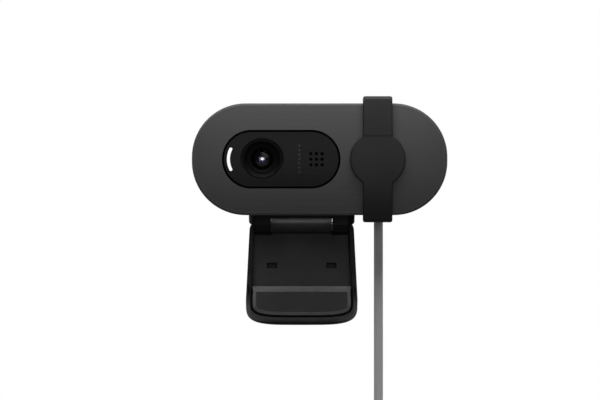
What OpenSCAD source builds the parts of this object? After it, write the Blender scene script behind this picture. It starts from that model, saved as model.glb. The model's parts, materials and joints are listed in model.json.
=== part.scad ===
// Clip-on webcam: a pill-shaped camera head with a sliding privacy band,
// tilting on a fold-out monitor clip, with its USB cable put up in a coil.
// Millimetres. +X is to the right of someone facing the lens, the face looks
// along -Y and +Z is up. The origin is on the clip's seat, under the tilt axis.

/* [Head] */
// Width of the head
head_w = 72.9; // [68:0.1:90]
// Height of the head
head_h = 31.9; // [31.6:0.1:36]
// Corner radius of the head's outline
head_corner = 15.3; // [14:0.1:15.7]
// Depth of the head from the crown of the face to the crown of the back
head_d = 22; // [21.5:0.5:26]
// Depth at which the rounded back begins
dome_start = 11; // [10.8:0.1:12]
// Radius of the gently bowed face
face_r = 55; // [45:1:90]
// Rounding where the face meets the sides
face_edge = 0.9; // [0.5:0.1:1.2]
// Wall of the two housings
wall = 1.8; // [1.6:0.1:2]
// Depth of the seam between the front and rear housing
seam = 8.5; // [8:0.1:9]
// Depth of the V-shaped groove that hides the seam
seam_groove = 0.25; // [0.15:0.05:0.4]
// Head centre, right of the clip's middle
head_x = 5.1; // [4:0.1:6]
// Head centre above the clip's seat
head_z = 17; // [17:0.1:18]

/* [Face plate] */
// Width of the glossy face plate
plate_w = 32.7; // [32:0.1:34]
// Height of the face plate
plate_h = 15.6; // [15.2:0.1:17]
// Face plate centre from the head's left end
plate_inset = 25.5; // [25:0.1:25.9]
// Groove between the plate and the front housing
plate_gap = 0.55; // [0.3:0.05:0.7]
// Thickness of the face plate
plate_t = 1.8; // [1.6:0.1:2]
// Lens centre to the left of the face plate's centre
lens_shift = 5.45; // [5:0.05:5.6]
// Radius of the shallow dish round the lens
dish_r = 6.5; // [6.3:0.1:6.6]
// Radius of the opening for the lens
lens_hole_r = 5.8; // [5.4:0.1:6]
// Middle radius of the crescent light
light_r = 6.5; // [6.3:0.05:6.6]
// Width of the crescent light
light_w = 0.95; // [0.8:0.05:1]
// Half of the angle that the crescent light spans
light_angle = 26; // [20:1:30]
// Diameter of a microphone hole
mic_hole = 0.95; // [0.6:0.05:1.1]
// Spacing of the microphone holes
mic_pitch = 1.6; // [1.4:0.1:1.8]
// Microphone grid centre to the right of the face plate's centre
mic_shift = 10.05; // [9.8:0.05:10.4]

/* [Privacy band] */
// Width of the band
band_w = 8.4; // [6:0.1:9]
// Radius of the round shutter on the band
disc_r = 7.9; // [7:0.1:8.2]
// Thickness of the band over the top and underneath
band_t = 1.85; // [1.4:0.05:2.4]
// Thickness of the band's front
band_front = 1.5; // [1.2:0.1:2]
// Depth of the groove in the housings that guides the band
groove_depth = 1; // [0.7:0.1:1.1]
// Width of the groove
groove_w = 1.8; // [1.4:0.1:2]

/* [Clip] */
// Width of the clip at the seat
clip_w = 30.4; // [29:0.1:31]
// Thickness of the front block and of the two rails
rail_t = 2.8; // [2.4:0.1:2.8]
// Width of the gap between the rails
rail_gap = 17.8; // [16:0.1:19]
// How far the front teeth reach below the seat
tooth_drop = 1.8; // [1:0.1:2.4]
// Thickness of the front teeth
tooth_t = 2; // [1.5:0.1:2.2]
// Leg hinge behind the tilt hinge
hinge_y = 21; // [21:0.5:26]
// Leg hinge below the seat
hinge_drop = 2.2; // [2.1:0.05:2.4]
// Radius of the leg's knuckle and of the ears
knuckle_r = 2.25; // [2:0.05:2.3]
// Radius of the leg's hinge pin
leg_pin_r = 1.25; // [0.8:0.05:1.4]
// Width of the leg at its foot
foot_w = 32.4; // [31.6:0.1:34]
// Length of the leg below its hinge
leg_l = 28.65; // [27.6:0.05:34]
// Length of the foot's rounded end
foot_round = 7.2; // [6.5:0.1:8]

/* [Tilt hinge] */
// Tilt axis above the seat
tilt_z = 4.8; // [4.6:0.1:5]
// Radius of the tilt knuckle
tilt_r = 2.4; // [2.1:0.1:2.5]
// Width of the tilt knuckle
tilt_w = 12; // [10:0.1:13]
// Radius of the tilt pin
tilt_pin_r = 1.25; // [0.8:0.05:1.4]

/* [Cable] */
// Diameter of the USB cable
cord_d = 2.6; // [2:0.1:3]
// Cable centre from the head centre
cord_x = 16.9; // [16:0.1:17.5]
// Diameter of the coil at the middle of its turns
coil_d = 33; // [28:0.5:40]
// Thickness of the coil's bundle of turns
coil_t = 11; // [8:0.5:12]

/* [Clearances] */
// Between the sliding band and the head
band_clear = 0.2; // [0.15:0.05:0.3]
// Between the tilting and folding parts beside each other
fold_clear = 0.35; // [0.2:0.05:0.5]
// Between a hinge pin and its turning bore, on the radius
run_clear = 0.05; // [0.02:0.01:0.09]
// Between parts that are seated in one another
seat_clear = 0.05; // [0.02:0.01:0.1]

/* [Hidden] */
$fn = 64;
eps = 0.01;

// Head: depths are measured back from the crown of its face.
face_y = -16;
plate_x = plate_inset - head_w / 2;
lens_x = plate_x - lens_shift;
mic_x = plate_x + mic_shift;
straight_x = head_w / 2 - head_corner;
straight_z = head_h / 2 - head_corner;
back_power = 2.2;
recess_front = 10.9;
hinge_wall = 1.5;
recess_top = rail_t + 1.4 - head_z;
pocket_w = tilt_w + 1.2;
pocket_depth = 3;
tilt_depth = -face_y;

// Camera module and board, as depths behind the face.
plate_sink = 0.1;
dish_depth = 0.35;
flange_w = 1.5;
flange_t = 1;
rim_t = 0.65;
plate_back = plate_sink + plate_t + 0.5;
flange_front = face_depth(plate_h / 2 + flange_w - straight_z, wall) + seat_clear;
board_front = head_d * 13 / 22;
board_t = 1.2;
board_w = head_w - 6.9;
board_top = 10.8;
board_bottom = -7.2;
barrel_r = 3.6;
barrel_front = 2.2;
barrel_head_r = 4.2;
lens_r = 3;
rear_lens_r = 2.6;
iris_r = 1.6;
holder_r = 4.9;
holder_front = 6.5;
holder_step = 8;
filter_y = board_front - 2.2;
filter_t = 0.4;
barrel_back = filter_y - 0.6;
rear_lens_y = filter_y - 3.6;
filter_half = 3;
sensor_t = 0.9;
boss_x = head_w / 2 - 5.85;
boss_z = 5.2;
boss_r = 1.9;
screw_r = 0.8;
screw_l = 6;
screw_head_r = 1.5;
screw_head_t = 0.9;
screw_back = board_front + board_t;
mic_w = 3.8;
mic_h = 3;
mic_t = 1.1;
boot_half = 3.4;
led_t = 0.8;
led_x = plate_x - plate_w / 2 + plate_h / 2 - light_r;

// Band: its guide hooks ride in the groove along the housings' seam.
band_rest = 0.15 - lens_x;
hook_y = seam;
hook_w = groove_w - 2 * band_clear;
groove_l = 2 * band_rest + band_w + 2 * band_clear;
band_inner = face_r + band_clear;
band_outer = band_inner + band_front;
disc_z = sqrt(pow(disc_r, 2) - pow(band_w / 2, 2));
disc_step = 0.12;
disc_lean = disc_step * band_outer / (2 * disc_z);
disc_back = sqrt(pow(band_outer, 2) - pow(disc_z - disc_lean, 2))
    - sqrt(pow(band_outer, 2) - pow(disc_z - straight_z, 2)) + 0.02;

// Clip
block_front = -3.5;
block_back = 2.6;
clip_corner = 2.5;
tooth_corner = 1.3;
tooth_x = rail_gap / 2 + 0.4;
ear_x = clip_w / 2 - 1.75;
knuckle_w = rail_gap - 0.36;
knuckle_shift = -0.07;
seat_l = 9;
seat_r = 1.6;
seat_t = 0.8;
leg_front = 1.9;
leg_back = 4;
leg_top = 1.5;
leg_wall = 1.3;
foot_wall = 2.2;
leg_rear_wall = 1.3;
leg_top_w = clip_w - 0.1;
leg_corner = 2.6;
rail_end = hinge_y - leg_top - 0.4;
foot_power = 4.2;
panel_front = 0.5;
panel_t = 1.4;
panel_rim = 0.6;
panel_step = 0.7;
slot_x = 8.6;
slot_z = -11.4;
slot_size = [3, 1.6];
pad_top = 17.4;
pad_slope = 1.6;
pad_proud = 3.4;
pad_gap = 0.25;
pad_rim = 1.35;
pad_round = foot_round - foot_wall - pad_gap;

// Cable: from the gland straight down, the coil, then the tail to the plug.
gland_depth = head_d * 15 / 22;
gland_r = 2.4;
gland_drop = -0.6;
gland_boss = 4.6;
gland_flange = 1;
gland_back = 2;
cord_y = face_y + gland_depth;
coil_top = -62;
coil_z = coil_top - coil_t / 2 - coil_d / 2;
cord_at = head_x + cord_x;
CORD_DOWN = [for (z = [-0.6, -16, -32, -48, -62]) [cord_at, cord_y, z]];
CORD_TAIL = [for (z = [-106, -111, -116]) [cord_at, cord_y, z]];
tie_angle = 20;
tie_t = 0.7;
plug_top = -116;
plug_l = 24;
plug_w = 15.5;
plug_t = 8;
shell_l = 19;
shell_w = 12;
shell_t = 4.5;
shell_wall = 0.35;
grip_w = 8;
grip_pitch = 2.4;
grip_depth = 0.4;

// ---------- shapes ----------

// Depth of the face set in by g, at a distance s beyond the head's straight middle.
function face_depth(s, g = 0) = face_r - sqrt(pow(face_r - g, 2) - s * s);

// The part of the head's section beyond its straight middle, set in by g:
// [distance out, depth].
function head_profile(g) =
    let (r = head_corner - g, fr = face_r - g, e = max(face_edge - g, 0.1))
    let (edge_y = face_r - sqrt(fr * fr - (r - e) * (r - e)))
    concat(
        [for (i = [0:8]) let (s = (r - e) * i / 8) [s, face_r - sqrt(fr * fr - s * s)]],
        [for (i = [1:5]) let (a = 90 * i / 5) [r - e + e * sin(a), edge_y + e - e * cos(a)]],
        g > 0 ? [] : [[r, seam - seam_groove], [r - seam_groove, seam], [r, seam + seam_groove]],
        [for (i = [0:15]) let (a = 90 * i / 16)
            [r * pow(cos(a), 2 / back_power),
             dome_start + (head_d - dome_start - g) * pow(sin(a), 2 / back_power)]],
        [[0, head_d - g]]);

function both_sides(points, c) = concat(
    [for (p = points) [p[0] + c, p[1]]],
    [for (i = [len(points) - 1:-1:0]) [-points[i][0] - c, points[i][1]]]);

// The head's outer form set in by g, centred on X and Z.
module pebble(g = 0) {
    points = head_profile(g);
    for (sx = [-1, 1], sz = [-1, 1])
        translate([sx * straight_x, 0, sz * straight_z])
            rotate([-90, 0, 0]) rotate_extrude($fn = 96) polygon(points);
    rotate([0, -90, 0])
        linear_extrude(2 * straight_x, center = true)
            polygon(both_sides(points, straight_z));
    linear_extrude(2 * straight_z, center = true)
        polygon(both_sides(points, straight_x));
}

module in_head() {
    translate([head_x, face_y, head_z]) children();
}

// A pill-shaped prism through the head, from depth y0 to y1.
module pill(w, h, y0, y1) {
    for (s = [-1, 1]) translate([s * (w - h) / 2, y0, 0]) rod(h / 2, y1 - y0);
    translate([-(w - h) / 2, y0, -h / 2]) cube([w - h, y1 - y0, h]);
}

// A cylinder along +Y from the origin.
module rod(r, l, r2 = undef) {
    rotate([-90, 0, 0]) cylinder(r1 = r, r2 = is_undef(r2) ? r : r2, h = l);
}

// A cylinder along X, centred.
module axle(r, l) {
    rotate([0, 90, 0]) cylinder(r = r, h = l, center = true);
}

module block(x0, x1, y0, y1, z0, z1) {
    translate([x0, y0, z0]) cube([x1 - x0, y1 - y0, z1 - z0]);
}

// Upper half of the crescent's outline about its arc's centre, with its round end.
function crescent_half(w) = let (c = cos(light_angle), s = sin(light_angle)) concat(
    [for (i = [0:6]) let (a = light_angle * i / 6) [-(light_r + w) * cos(a), (light_r + w) * sin(a)]],
    [for (t = [30:30:150])
        [w * (s * sin(t) - c * cos(t)) - light_r * c, w * (c * sin(t) + s * cos(t)) + light_r * s]],
    [for (i = [6:-1:1]) let (a = light_angle * i / 6) [(w - light_r) * cos(a), (light_r - w) * sin(a)]]);

// The crescent light's form, grown by g.
module crescent(g, y0, y1) {
    w = light_w / 2 + g;
    half = crescent_half(w);
    translate([led_x + light_r, 0, 0])
        slab(concat(half, [[w - light_r, 0]],
                    [for (i = [len(half) - 1:-1:1]) [half[i][0], -half[i][1]]]), y0, y1);
}

module mic_grid(r, y0, y1) {
    for (i = [-1:1], k = [-1:1])
        translate([mic_x + i * mic_pitch, y0, k * mic_pitch]) rod(r, y1 - y0, $fn = 24);
}

module at_bosses() {
    for (sx = [-1, 1], sz = [-1, 1]) translate([sx * boss_x, 0, sz * boss_z]) children();
}

// ---------- head ----------

module front_housing() {
    color("dimgray") in_head() {
        difference() {
            intersection() {
                difference() {
                    pebble();
                    pebble(wall);
                }
                block(-head_w, head_w, -1, seam, -head_h, head_h);
            }
            translate([plate_x, 0, 0])
                pill(plate_w + 2 * plate_gap, plate_h + 2 * plate_gap, -1, seam);
            guide_groove();
        }
        difference() {
            intersection() {
                at_bosses() rod(boss_r, board_front);
                pebble(wall / 2);
            }
            at_bosses() translate([0, screw_back - screw_l, 0]) rod(screw_r, screw_l);
        }
    }
}

module guide_groove() {
    for (s = [-1, 1])
        block(-groove_l / 2, groove_l / 2, seam - groove_w / 2, seam + groove_w / 2,
              s > 0 ? head_h / 2 - groove_depth : -head_h / 2 - 1,
              s > 0 ? head_h / 2 + 1 : -head_h / 2 + groove_depth);
}

module rear_housing() {
    color("dimgray") difference() {
        in_head() intersection() {
            union() {
                difference() {
                    pebble();
                    pebble(wall);
                }
                intersection() {
                    hinge_block();
                    pebble();
                }
                intersection() {
                    translate([cord_x, gland_depth, -head_h / 2]) cylinder(r = gland_r + 1.8, h = gland_boss);
                    pebble();
                }
            }
            block(-head_w, head_w, seam, head_d + 1, -head_h, head_h);
        }
        in_head() guide_groove();
        in_head() translate([-head_x, 0, 0]) {
            block(-clip_w / 2 - 0.8, clip_w / 2 + 0.8, recess_front, head_d + 1, -head_h, recess_top);
            block(-pocket_w / 2, pocket_w / 2, tilt_depth - pocket_depth, tilt_depth + pocket_depth,
                  recess_top - eps, tilt_z + tilt_r + 0.4 - head_z);
        }
        translate([0, 0, tilt_z]) axle(tilt_pin_r, tilt_pin_l());
        translate([cord_at, cord_y, -head_h]) cylinder(r = gland_r + seat_clear, h = head_h + head_z - 5);
    }
}

function tilt_pin_l() = pocket_w + 5;

module hinge_block() {
    translate([-head_x, 0, 0])
        block(-clip_w / 2 - 2.4, clip_w / 2 + 2.4, seam, head_d,
              -head_h, recess_top + hinge_wall);
    translate([-head_x, 0, 0])
        block(-pocket_w / 2 - 3.2, pocket_w / 2 + 3.2, tilt_depth - pocket_depth - 1.5,
              head_d, -head_h, tilt_z + tilt_r + 1.9 - head_z);
}

module face_plate() {
    color("black") in_head() difference() {
        union() {
            intersection() {
                translate([plate_x, 0, 0]) pill(plate_w, plate_h, -1, flange_front + flange_t);
                pebble(plate_sink);
            }
            translate([plate_x, 0, 0])
                pill(plate_w + 2 * flange_w, plate_h + 2 * flange_w, flange_front, flange_front + flange_t);
        }
        translate([plate_x, 0, 0]) pill(plate_w - 2 * rim_t, plate_h - 2 * rim_t, plate_back, 9);
        translate([lens_x, 0, 0]) {
            translate([0, plate_sink - 0.2, 0]) rod(dish_r, dish_depth + 0.2, lens_hole_r);
            rod(lens_hole_r, 9);
        }
        crescent(seat_clear, -1, 9);
        mic_grid(mic_hole / 2, -1, 9);
    }
}

module lens_bezel() {
    color("black") in_head() translate([lens_x, 0, 0]) difference() {
        translate([0, dish_depth + 0.1, 0]) rod(lens_hole_r - seat_clear, 3.2);
        translate([0, dish_depth, 0]) rod(lens_hole_r - 0.5, 1.3, barrel_head_r + 0.1);
        rod(barrel_head_r + seat_clear, 6);
    }
}

module lens_barrel() {
    color("black") in_head() translate([lens_x, 0, 0]) difference() {
        union() {
            translate([0, barrel_front, 0]) rod(barrel_head_r, 2.2);
            translate([0, barrel_front + 2, 0]) rod(barrel_r, barrel_back - barrel_front - 2);
        }
        translate([0, barrel_front - eps, 0]) rod(lens_r + 0.7, 0.9, lens_r);
        translate([0, barrel_front, 0]) rod(lens_r, 3);
        translate([0, barrel_front + 2, 0]) rod(iris_r, 9);
        translate([0, rear_lens_y, 0]) rod(rear_lens_r, 4);
    }
}

module front_lens() {
    color("darkslategray") in_head() translate([lens_x, barrel_front, 0]) intersection() {
        translate([0, 0.3, 0]) rod(lens_r - seat_clear, 2.6);
        translate([0, 4.8, 0]) sphere(r = 4.5, $fn = 96);
    }
}

module rear_lens() {
    color("darkslategray") in_head() translate([lens_x, rear_lens_y + seat_clear, 0])
        rod(rear_lens_r - seat_clear, 1.6);
}

module lens_holder() {
    color("black") in_head() difference() {
        union() {
            translate([lens_x, holder_front, 0]) rod(holder_r, 2);
            block(lens_x - holder_r + 0.1, lens_x + holder_r - 0.1, holder_step, board_front,
                  0.1 - holder_r, holder_r - 0.1);
        }
        translate([lens_x, holder_front - 0.5, 0])
            rod(barrel_r + seat_clear, filter_y - holder_front + 0.1);
        block(lens_x - filter_half - 0.1, lens_x + filter_half + 0.1, filter_y, board_front + 1,
              -filter_half - 0.1, filter_half + 0.1);
        translate([lens_x, filter_y - 0.8, 0]) rod(filter_half - 0.8, 2);
    }
}

module ir_filter() {
    color("lightblue") in_head()
        block(lens_x - filter_half, lens_x + filter_half, filter_y, filter_y + filter_t,
              -filter_half, filter_half);
}

module image_sensor() {
    color("darkgreen") in_head()
        block(lens_x - 2.9, lens_x + 2.9, board_front - sensor_t, board_front, -2.5, 2.5);
}

module main_board() {
    color("darkgreen") in_head() difference() {
        intersection() {
            block(-board_w / 2, board_w / 2, board_front, board_front + board_t, board_bottom, board_top);
            pebble(wall + 1);
        }
        at_bosses() translate([0, board_front - 1, 0]) rod(screw_r + 0.2, board_t + 2);
    }
}

module board_screws() {
    color("silver") in_head() at_bosses() difference() {
        union() {
            translate([0, screw_back - screw_l + 0.5, 0]) rod(screw_r - seat_clear, screw_l - 0.5);
            translate([0, screw_back, 0]) rod(screw_head_r, screw_head_t);
        }
        for (a = [0, 90]) rotate([0, a, 0])
            block(0.6 - screw_head_r, screw_head_r - 0.6, screw_back + screw_head_t / 2,
                  screw_back + 2, -screw_r / 4, screw_r / 4);
    }
}

module led() {
    color("white") in_head()
        block(led_x - 0.8, led_x + 0.8, board_front - led_t, board_front, -1.5, 1.5);
}

module light_guide() {
    color("white") in_head() {
        difference() {
            crescent(0, 0, 4.5);
            difference() {
                block(-head_w, 0, -5, 5, -head_h, head_h);
                pebble(plate_sink + 0.05);
            }
        }
        translate([led_x + 0.1, 4.5, 0]) rotate([-90, 0, 0]) linear_extrude(board_front - led_t - 4.5)
            square([light_w - 0.1, 2.4], center = true);
    }
}

module microphone() {
    color("gold") in_head()
        block(mic_x - mic_w / 2, mic_x + mic_w / 2, board_front - mic_t, board_front, -mic_h / 2, mic_h / 2);
}

module mic_boot() {
    color("dimgray") in_head() difference() {
        block(mic_x - boot_half, mic_x + boot_half, plate_back + seat_clear, board_front,
              -boot_half, boot_half);
        block(mic_x - mic_w / 2 - seat_clear, mic_x + mic_w / 2 + seat_clear,
              board_front - mic_t - seat_clear, board_front + 1,
              -mic_h / 2 - seat_clear, mic_h / 2 + seat_clear);
        translate([mic_x, 0, 0]) rod(1.2, board_front);
    }
}

module cable_header() {
    color("ivory") in_head()
        block(cord_x - 4, cord_x + 4, board_front + board_t, board_front + board_t + 3.2, -1, 4);
}

module cable_gland() {
    top = head_z - head_h / 2 + gland_boss;
    color("black") translate([cord_at, cord_y, 0]) {
        translate([0, 0, gland_drop]) cylinder(r1 = gland_r - 0.5, r2 = gland_r, h = 2.2);
        translate([0, 0, gland_drop + 2.2]) cylinder(r = gland_r, h = top - gland_drop - 2.2 + eps);
        intersection() {
            translate([0, 0, top]) cylinder(r = gland_r + gland_flange, h = 1.2);
            block(-gland_r - 2, gland_r + 2, -gland_r - 2, gland_back, top, top + 1.2);
        }
    }
}

module tilt_pin() {
    color("silver") translate([0, 0, tilt_z]) axle(tilt_pin_r, tilt_pin_l());
}

module tilt_washers() {
    color("silver") for (s = [-1, 1])
        translate([s * (tilt_w + pocket_w) / 4, 0, tilt_z]) difference() {
            axle(tilt_z - rail_t - 0.1, (pocket_w - tilt_w) / 2 - 0.1);
            axle(tilt_pin_r + run_clear, 2);
        }
}

// ---------- privacy band ----------

// The band's section: [depth, height], a C open to the back.
module band_section() {
    top = head_h / 2 + band_clear + band_t;
    inner_top = head_h / 2 + band_clear;
    end = hook_y + hook_w / 2;
    round_r = 1.2;
    corner = asin((top - straight_z - round_r) / (band_outer - round_r));
    cy = face_r - (band_outer - round_r) * cos(corner);
    last = asin((inner_top - straight_z) / band_inner);
    outer = concat(
        [for (i = [0:12]) let (a = corner * i / 12)
            [face_r - band_outer * cos(a), straight_z + band_outer * sin(a)]],
        [for (i = [1:6]) let (a = corner + (90 - corner) * i / 6)
            [cy - round_r * cos(a), top - round_r + round_r * sin(a)]],
        [[end, top]]);
    inner = concat(
        [[end, inner_top - groove_depth + band_clear],
         [end - hook_w, inner_top - groove_depth + band_clear],
         [end - hook_w, inner_top]],
        [for (i = [12:-1:0]) let (a = last * i / 12)
            [face_r - band_inner * cos(a), straight_z + band_inner * sin(a)]]);
    half = concat(outer, inner);
    polygon(concat(half, [for (i = [len(half) - 1:-1:0]) [half[i][0], -half[i][1]]]));
}

module shutter_band() {
    color("dimgray") in_head() translate([band_rest, 0, 0]) {
        difference() {
            intersection() {
                rotate([0, 90, 0]) rotate([0, 0, 90])
                    linear_extrude(band_w, center = true) band_section();
                band_outline();
            }
            block(-band_w, band_w, -5, 5, -disc_z, disc_z);
        }
        difference() {
            intersection() {
                translate([0, -3, 0]) rod(disc_r, 6);
                translate([0, face_r + disc_back, -disc_lean]) axle(band_outer, 4 * disc_r, $fn = 256);
            }
            for (s = [-1, 1]) translate([0, face_r, s * straight_z]) axle(band_inner, 5 * disc_r, $fn = 256);
            block(-3 * disc_r, 3 * disc_r, -band_clear, 9, -straight_z, straight_z);
        }
    }
}

// The band seen from the front, with its four corners rounded.
module band_outline() {
    r = 0.6;
    top = head_h / 2 + band_clear + band_t;
    for (s = [-1, 1], t = [-1, 1])
        translate([s * (band_w / 2 - r), -5, t * (top - r)]) rod(r, 20, $fn = 32);
    block(-band_w / 2, band_w / 2, -5, 15, r - top, top - r);
    block(r - band_w / 2, band_w / 2 - r, -5, 15, -top, top);
}

// ---------- clip ----------

module clip_base() {
    color("black") difference() {
        union() {
            clip_plan();
            teeth();
            translate([0, 0, tilt_z]) axle(tilt_r, tilt_w);
            block(-tilt_w / 2, tilt_w / 2, -tilt_r, tilt_r, rail_t - eps, tilt_z);
            ears();
        }
        translate([0, 0, tilt_z]) axle(tilt_pin_r + run_clear, tilt_w + 1);
        at_leg_hinge() axle(leg_pin_r, 2 * ear_x + 1);
        seat_pockets(0);
    }
}

module at_leg_hinge() {
    translate([0, hinge_y, -hinge_drop]) children();
}

// Front block and two rails, seen from above as a U open to the back.
module clip_plan() {
    inner = clip_w / 2 - clip_corner;
    difference() {
        union() {
            block(-clip_w / 2, clip_w / 2, block_front + clip_corner, rail_end, 0, rail_t);
            block(-inner, inner, block_front, rail_end, 0, rail_t);
            for (s = [-1, 1])
                translate([s * inner, block_front + clip_corner, 0]) cylinder(r = clip_corner, h = rail_t);
        }
        block(-rail_gap / 2, rail_gap / 2, block_back, hinge_y, -1, rail_t + 1);
    }
}

// Teeth that hook over the front of a screen, one below each rail.
module teeth() {
    inner = clip_w / 2 - clip_corner;
    round_x = clip_w / 2 - tooth_corner;
    for (s = [-1, 1])
        intersection() {
            union() {
                block(min(s * tooth_x, s * round_x), max(s * tooth_x, s * round_x), block_front,
                      block_front + tooth_t, -tooth_drop, eps);
                block(-clip_w / 2, clip_w / 2, block_front, block_front + tooth_t,
                      tooth_corner - tooth_drop, eps);
                translate([s * round_x, block_front, tooth_corner - tooth_drop])
                    rod(tooth_corner, tooth_t);
            }
            block(min(s * tooth_x, s * clip_w), max(s * tooth_x, s * clip_w), block_front, 0,
                  -tooth_drop - 1, eps);
            union() {
                block(-inner, inner, block_front, 0, -tooth_drop - 1, 1);
                translate([s * inner, block_front + clip_corner, -tooth_drop - 1])
                    cylinder(r = clip_corner, h = tooth_drop + 2);
            }
        }
}

// Two ears behind the rails that carry the leg's pin.
module ears() {
    w = ear_x - rail_gap / 2;
    for (s = [-1, 1])
        translate([s * (rail_gap / 2 + ear_x) / 2, 0, 0]) {
            at_leg_hinge() axle(knuckle_r, w);
            block(-w / 2, w / 2, hinge_y - 5.5, hinge_y - 0.5, 0.3 - hinge_drop, 0);
            block(-w / 2, w / 2, hinge_y - 5.5, rail_end, 0.3 - hinge_drop, rail_t / 2);
        }
}

// Pockets for the two rubber pads under the rails, grown by g.
module seat_pockets(g) {
    for (s = [-1, 1])
        translate([s * (rail_gap / 2 + clip_w / 2) / 2, 9, 0]) {
            for (t = [-1, 1])
                translate([0, t * (seat_l / 2 - seat_r), -1]) cylinder(r = seat_r - g, h = 1 + seat_t - g);
            translate([g - seat_r, seat_r - seat_l / 2, -1])
                cube([2 * (seat_r - g), seat_l - 2 * seat_r, 1 + seat_t - g]);
        }
}

module seat_pads() {
    color("dimgray") intersection() {
        seat_pockets(seat_clear);
        block(-clip_w, clip_w, -50, 50, 0, 5);
    }
}

module leg_pin() {
    color("silver") at_leg_hinge() axle(leg_pin_r, 2 * ear_x - 0.2);
}

// ---------- leg ----------

// Half of the leg's width on its slanting sides, at a height below its hinge.
function side_x(z) =
    let (from = leg_top - leg_corner, to = foot_round - leg_l)
    (leg_top_w + (foot_w - leg_top_w) * (z - from) / (to - from)) / 2;

// Outline of the leg from the front, with its hinge at the origin, set in by g
// at the sides and by foot at the bottom.
function leg_outline(g, top = leg_top, foot = undef, n = 12) =
    let (a = foot_w / 2 - g, b = foot_round - (is_undef(foot) ? g : foot), c = foot_round - leg_l)
    let (t = leg_top_w / 2 - g, r = leg_corner)
    let (right = concat(
        [for (i = [0:6]) let (q = 90 * i / 6) [t - r + r * sin(q), top - g - r + r * cos(q)]],
        [for (i = [0:n]) let (q = 90 * i / n)
            [a * pow(cos(q), 2 / foot_power), c - b * pow(sin(q), 2 / foot_power)]]))
    concat(right, [for (i = [len(right) - 1:-1:0]) [-right[i][0], right[i][1]]]);

// A slab of an outline, from y0 to y1 behind the hinge.
module slab(points, y0, y1) {
    translate([0, y1, 0]) rotate([90, 0, 0]) linear_extrude(y1 - y0) polygon(points);
}

module leg_shell() {
    color("black") at_leg_hinge() difference() {
        intersection() {
            hull() {
                slab(leg_outline(1), -leg_front - 1, leg_back - 2);
                slab(leg_outline(0.35), -leg_front - 0.7, leg_back - 2);
                slab(leg_outline(0), -leg_front, leg_back - 1.6);
                slab(leg_outline(0.5), 0, leg_back - 0.5);
                slab(leg_outline(1.4), 0, leg_back);
            }
            leg_side();
        }
        slab(leg_outline(leg_wall, leg_top + 4, foot_wall), -9, leg_back - leg_rear_wall);
        block(-knuckle_w / 2 - fold_clear, knuckle_w / 2 + fold_clear, -9,
              leg_back - leg_rear_wall + 0.4, -knuckle_r - fold_clear, 9);
    }
    color("black") at_leg_hinge() for (s = [-1, 1])
        block(s * slot_x - 1.2, s * slot_x + 1.2, 0, leg_back - leg_rear_wall + eps,
              slot_z - slot_size[1] / 2 + 0.1, slot_z - slot_size[1] / 2 + 1);
}

// The leg from the side: round at its hinge, deeper at its foot.
module leg_side() {
    points = concat(
        [[leg_back, leg_top + 1], [0, leg_top + 1]],
        [for (i = [1:8]) let (q = 90 + 90 * i / 8) [leg_front * cos(q), leg_front * sin(q)]],
        [[-leg_front, -13], [-leg_front - 1, -18], [-leg_front - 1, -leg_l - 1], [leg_back, -leg_l - 1]]);
    rotate([0, 90, 0]) rotate([0, 0, 90]) linear_extrude(2 * foot_w, center = true) polygon(points);
}

module leg_panel() {
    color("black") at_leg_hinge() difference() {
        union() {
            translate([knuckle_shift, 0, 0]) axle(knuckle_r, knuckle_w);
            block(knuckle_shift - knuckle_w / 2, knuckle_shift + knuckle_w / 2, -panel_front, knuckle_r,
                  -knuckle_r - 1, 0);
            intersection() {
                union() {
                    slab(leg_outline(leg_wall + seat_clear, 4), panel_step - panel_front,
                         panel_t - panel_front);
                    slab(leg_outline(leg_wall + panel_rim, 4), -panel_front, panel_t - panel_front);
                }
                block(-foot_w, foot_w, -5, 5, -pad_top, -knuckle_r - fold_clear);
            }
        }
        axle(leg_pin_r + run_clear, knuckle_w + 1);
        for (s = [-1, 1])
            block(s * slot_x - slot_size[0] / 2, s * slot_x + slot_size[0] / 2, -5, 5,
                  slot_z - slot_size[1] / 2, slot_z + slot_size[1] / 2);
    }
}

// Outline of the rubber pad, a fine gap inside the shell, set in by g.
function pad_outline(g, top) =
    let (inset = leg_wall + pad_gap + g, c = foot_round - leg_l, b = pad_round - g)
    let (right = concat([[side_x(-top) - inset, -top]],
        [for (i = [0:12]) let (q = 90 * i / 12)
            [(foot_w / 2 - inset) * pow(cos(q), 2 / foot_power), c - b * pow(sin(q), 2 / foot_power)]]))
    concat(right, [for (i = [len(right) - 1:-1:0]) [-right[i][0], right[i][1]]]);

module leg_pad() {
    color("dimgray") at_leg_hinge() {
        hull() {
            slab(pad_outline(0, pad_top), 0.3 - pad_proud + pad_slope, 0);
            slab(pad_outline(pad_rim / 3, pad_top + 1), 0.35 - pad_proud, 0);
            slab(pad_outline(pad_rim, pad_top + pad_slope), -pad_proud, 0);
        }
        slab(pad_outline(1, pad_top), -eps, leg_back - leg_rear_wall);
    }
}

// ---------- cable ----------

// A tube of n sides along points that lie on one upright line.
module cord_tube(points, n = 8) {
    r = cord_d / 2;
    rings = len(points);
    polyhedron(
        points = [for (p = points, i = [0:n - 1]) p + [r * cos(360 * i / n), r * sin(360 * i / n), 0]],
        faces = concat(
            [[for (i = [0:n - 1]) i]],
            [[for (i = [n - 1:-1:0]) (rings - 1) * n + i]],
            [for (k = [0:rings - 2], i = [0:n - 1])
                [k * n + i, (k + 1) * n + i, (k + 1) * n + (i + 1) % n, k * n + (i + 1) % n]]));
}

module usb_cable() {
    color("gray") {
        cord_tube(CORD_DOWN);
        cord_tube(CORD_TAIL);
    }
}

module cable_coil() {
    color("gray") translate([cord_at, cord_y, coil_z])
        rotate([90, 0, 0]) rotate_extrude() translate([coil_d / 2, 0]) circle(d = coil_t);
}

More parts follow.
